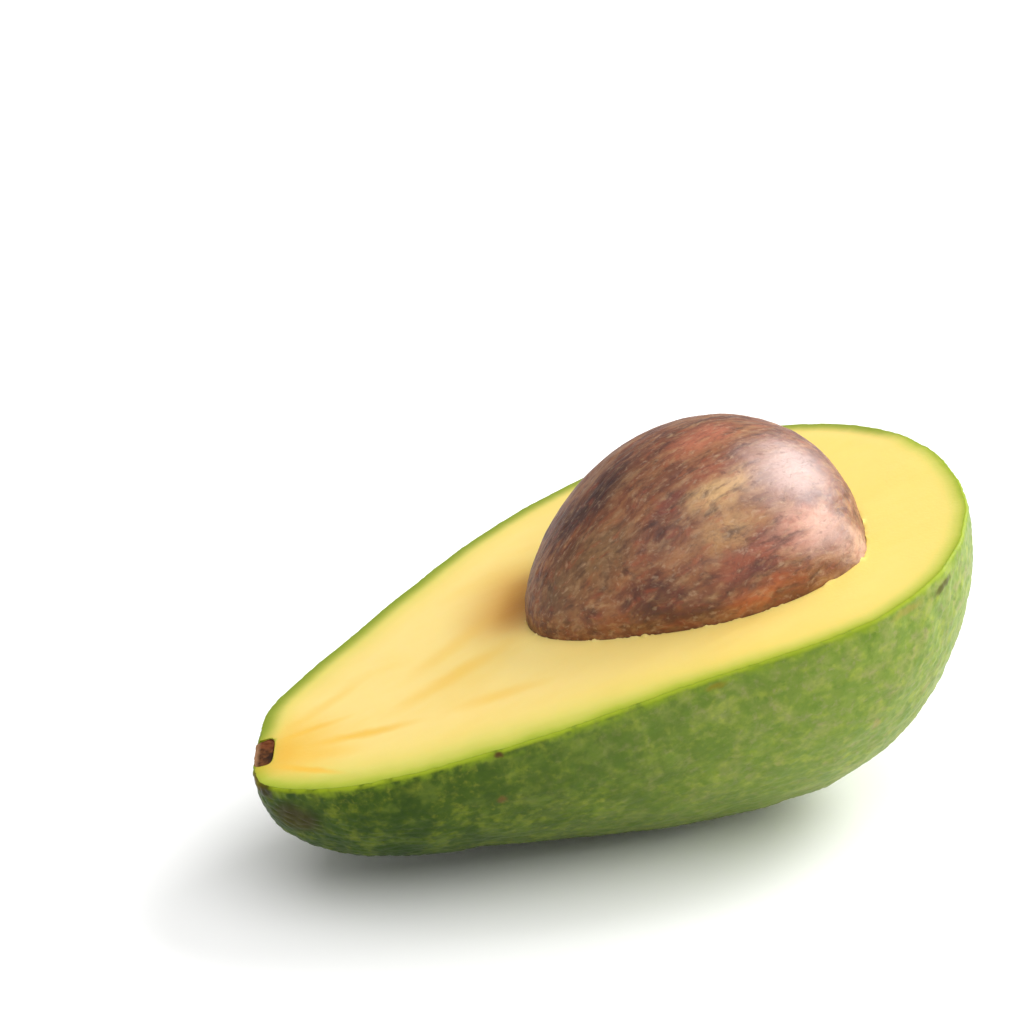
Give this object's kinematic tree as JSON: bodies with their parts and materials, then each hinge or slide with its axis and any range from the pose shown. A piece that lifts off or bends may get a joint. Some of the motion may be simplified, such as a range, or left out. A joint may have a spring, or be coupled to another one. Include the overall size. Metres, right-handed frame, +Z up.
{
  "type": "avocado half",
  "caption": "Half of a green avocado cut lengthwise, pear-shaped, lying on its round side with its large brown seed standing proud of the yellow cut face.",
  "frame": {"origin": "bottom centre of the whole box, on the surface that the half lies on", "axes": "+X along the fruit from the stem end to the blossom end, +Y across it, +Z up; the cut face is tipped 15 degrees about Y, stem end low"},
  "size_m": [0.1062, 0.072, 0.0551],
  "materials": {
    "skin": "pebbled green rind with a waxy satin sheen",
    "flesh": "smooth moist cut, yellow to lime at the rim",
    "seed_coat": "papery brown coat, streaked, with a soft sheen",
    "dried_stem": "dry and dark"
  },
  "bodies": {
    "root": {"fruit_half": "skin", "seed": "seed_coat", "stem_stub": "dried_stem"}
  },
  "joints": []
}
